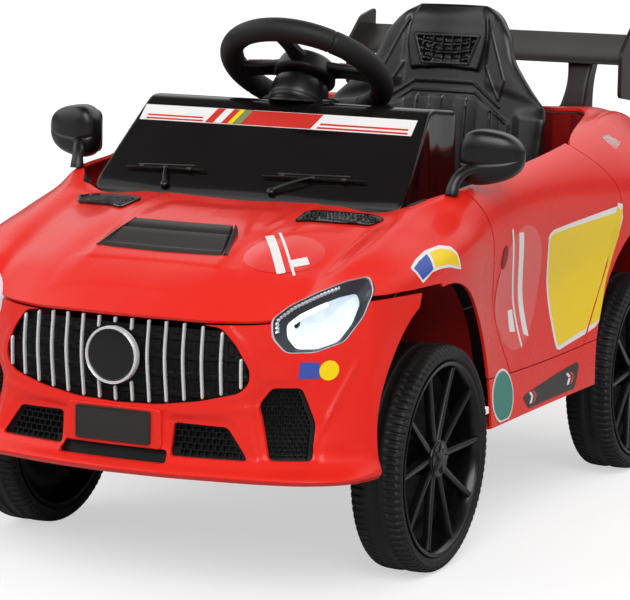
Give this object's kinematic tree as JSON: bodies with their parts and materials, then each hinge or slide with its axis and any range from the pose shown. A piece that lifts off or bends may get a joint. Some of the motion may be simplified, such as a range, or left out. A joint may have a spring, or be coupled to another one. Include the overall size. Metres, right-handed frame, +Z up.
{
  "type": "kids ride-on car",
  "caption": "battery ride-on toy car for a small child: red moulded body, slatted grille, spoked wheels, steering linkage, opening doors, high-backed seat and rear wing",
  "frame": {"origin": "on the floor, under the middle of the bounding box", "axes": "+Y towards the tail, so the nose points to -Y; +X towards the car's left side; +Z up"},
  "size_m": [0.58, 1.042, 0.5639],
  "materials": {
    "red_paint": "gloss",
    "dark_red": "satin",
    "black_plastic": "satin",
    "gloss_black": "gloss",
    "tyre_plastic": "matte",
    "chrome_trim": "chromed",
    "steel": "satin",
    "dark_grey": "matte",
    "white_lens": "gloss",
    "red_lens": "gloss",
    "red_button": "gloss"
  },
  "bodies": {
    "body": {"badge_disc": "gloss_black", "badge_ring": "chrome_trim", "battery": "black_plastic", "bonnet_scoop": "black_plastic", "bonnet_vent_left": "black_plastic", "bonnet_vent_right": "black_plastic", "chassis": "black_plastic", "cockpit_rear_wall": "dark_red", "cockpit_tub": "black_plastic", "front_body": "red_paint", "front_bumper": "red_paint", "front_wheel_wells": "dark_red", "gearbox_left": "dark_grey", "gearbox_right": "dark_grey", "grille_panel": "black_plastic", "grille_slats": "chrome_trim", "headlight_left": "white_lens", "headlight_right": "white_lens", "inner_mesh_left": "black_plastic", "inner_mesh_right": "black_plastic", "number_plate": "dark_grey", "outer_mesh_left": "black_plastic", "outer_mesh_right": "black_plastic", "rear_axle": "steel", "rear_body": "red_paint", "rear_bumper": "red_paint", "rear_wing": "black_plastic", "seat": "black_plastic", "seat_base": "black_plastic", "sill_left": "red_paint", "sill_right": "red_paint", "steering_column": "gloss_black", "tail_light_left": "red_lens", "tail_light_right": "red_lens", "windscreen": "gloss_black", "wing_post_left": "black_plastic", "wing_post_right": "black_plastic", "wiper_left": "black_plastic", "wiper_right": "black_plastic"},
    "steering": {"steering_shaft": "steel", "steering_wheel": "black_plastic"},
    "horn": {"horn_button": "dark_grey"},
    "drag_link": {"tie_rod": "black_plastic"},
    "kingpin_left": {"knuckle_left": "black_plastic"},
    "kingpin_right": {"knuckle_right": "black_plastic"},
    "wheel_front_left": {"tyre_front_left": "tyre_plastic", "rim_front_left": "gloss_black"},
    "wheel_front_right": {"tyre_front_right": "tyre_plastic", "rim_front_right": "gloss_black"},
    "wheel_rear_left": {"tyre_rear_left": "tyre_plastic", "rim_rear_left": "gloss_black"},
    "wheel_rear_right": {"tyre_rear_right": "tyre_plastic", "rim_rear_right": "gloss_black"},
    "door_left": {"door_left": "red_paint"},
    "door_right": {"door_right": "red_paint"},
    "mirror_left": {"mirror_left": "black_plastic"},
    "mirror_right": {"mirror_right": "black_plastic"},
    "pedal": {"accelerator_pedal": "dark_grey"},
    "start": {"start_button": "red_button"},
    "direction": {"direction_switch": "black_plastic"}
  },
  "joints": [
    {"name": "steering_turn", "type": "hinge", "parent": "body", "child": "steering", "pos_m": [0, -0.071, 0.502], "axis": [0, 0.5621, 0.8271], "range_deg": [-40.2, 40.2]},
    {"name": "horn_press", "type": "slide", "parent": "steering", "child": "horn", "axis": [0, -0.5621, -0.8271], "range_m": [0, 0.002], "stiffness_N_per_m": 300},
    {"name": "kingpin_left_turn", "type": "hinge", "parent": "body", "child": "kingpin_left", "pos_m": [0.162, -0.253, 0.12], "axis": [0, 0, 1], "range_deg": [-20, 20]},
    {"name": "kingpin_right_turn", "type": "hinge", "parent": "body", "child": "kingpin_right", "pos_m": [-0.162, -0.253, 0.12], "axis": [0, 0, 1], "range_deg": [-20.1, 20.1]},
    {"name": "drag_link_slide", "type": "slide", "parent": "body", "child": "drag_link", "axis": [1, 0, 0], "range_m": [-0.0159, 0.0159]},
    {"name": "wheel_front_left_spin", "type": "hinge", "parent": "kingpin_left", "child": "wheel_front_left", "pos_m": [0.2285, -0.253, 0.12], "axis": [1, 0, 0], "continuous": true},
    {"name": "wheel_front_right_spin", "type": "hinge", "parent": "kingpin_right", "child": "wheel_front_right", "pos_m": [-0.2285, -0.253, 0.12], "axis": [1, 0, 0], "continuous": true},
    {"name": "wheel_rear_left_spin", "type": "hinge", "parent": "body", "child": "wheel_rear_left", "pos_m": [0.2345, 0.343, 0.12], "axis": [1, 0, 0], "continuous": true},
    {"name": "wheel_rear_right_spin", "type": "hinge", "parent": "body", "child": "wheel_rear_right", "pos_m": [-0.2345, 0.343, 0.12], "axis": [1, 0, 0], "continuous": true},
    {"name": "door_left_swing", "type": "hinge", "parent": "body", "child": "door_left", "pos_m": [0.258, -0.192, 0.26], "axis": [0, 0, -1], "range_deg": [0, 55]},
    {"name": "door_right_swing", "type": "hinge", "parent": "body", "child": "door_right", "pos_m": [-0.258, -0.192, 0.26], "axis": [0, 0, 1], "range_deg": [0, 55]},
    {"name": "mirror_left_fold", "type": "hinge", "parent": "body", "child": "mirror_left", "pos_m": [0.228, -0.187, 0.3887], "axis": [0, 0, 1], "range_deg": [0, 30]},
    {"name": "mirror_right_fold", "type": "hinge", "parent": "body", "child": "mirror_right", "pos_m": [-0.228, -0.187, 0.3887], "axis": [0, 0, -1], "range_deg": [0, 30]},
    {"name": "pedal_press", "type": "hinge", "parent": "body", "child": "pedal", "pos_m": [-0.07, -0.088, 0.1593], "axis": [1, 0, 0], "range_deg": [0, 10], "stiffness_Nm_per_rad": 0.8, "springref_deg": -2.86},
    {"name": "start_press", "type": "slide", "parent": "body", "child": "start", "axis": [0, -1, 0], "range_m": [0, 0.002], "stiffness_N_per_m": 300},
    {"name": "direction_rock", "type": "hinge", "parent": "body", "child": "direction", "pos_m": [-0.09, -0.0435, 0.405], "axis": [1, 0, 0], "range_deg": [-8, 8]}
  ],
  "couplings": [
    {"joint": "kingpin_right_turn", "follows": "kingpin_left_turn", "ratio": 1},
    {"joint": "steering_turn", "follows": "kingpin_left_turn", "ratio": 2},
    {"joint": "drag_link_slide", "follows": "kingpin_left_turn", "m_per_rad": 0.045}
  ]
}
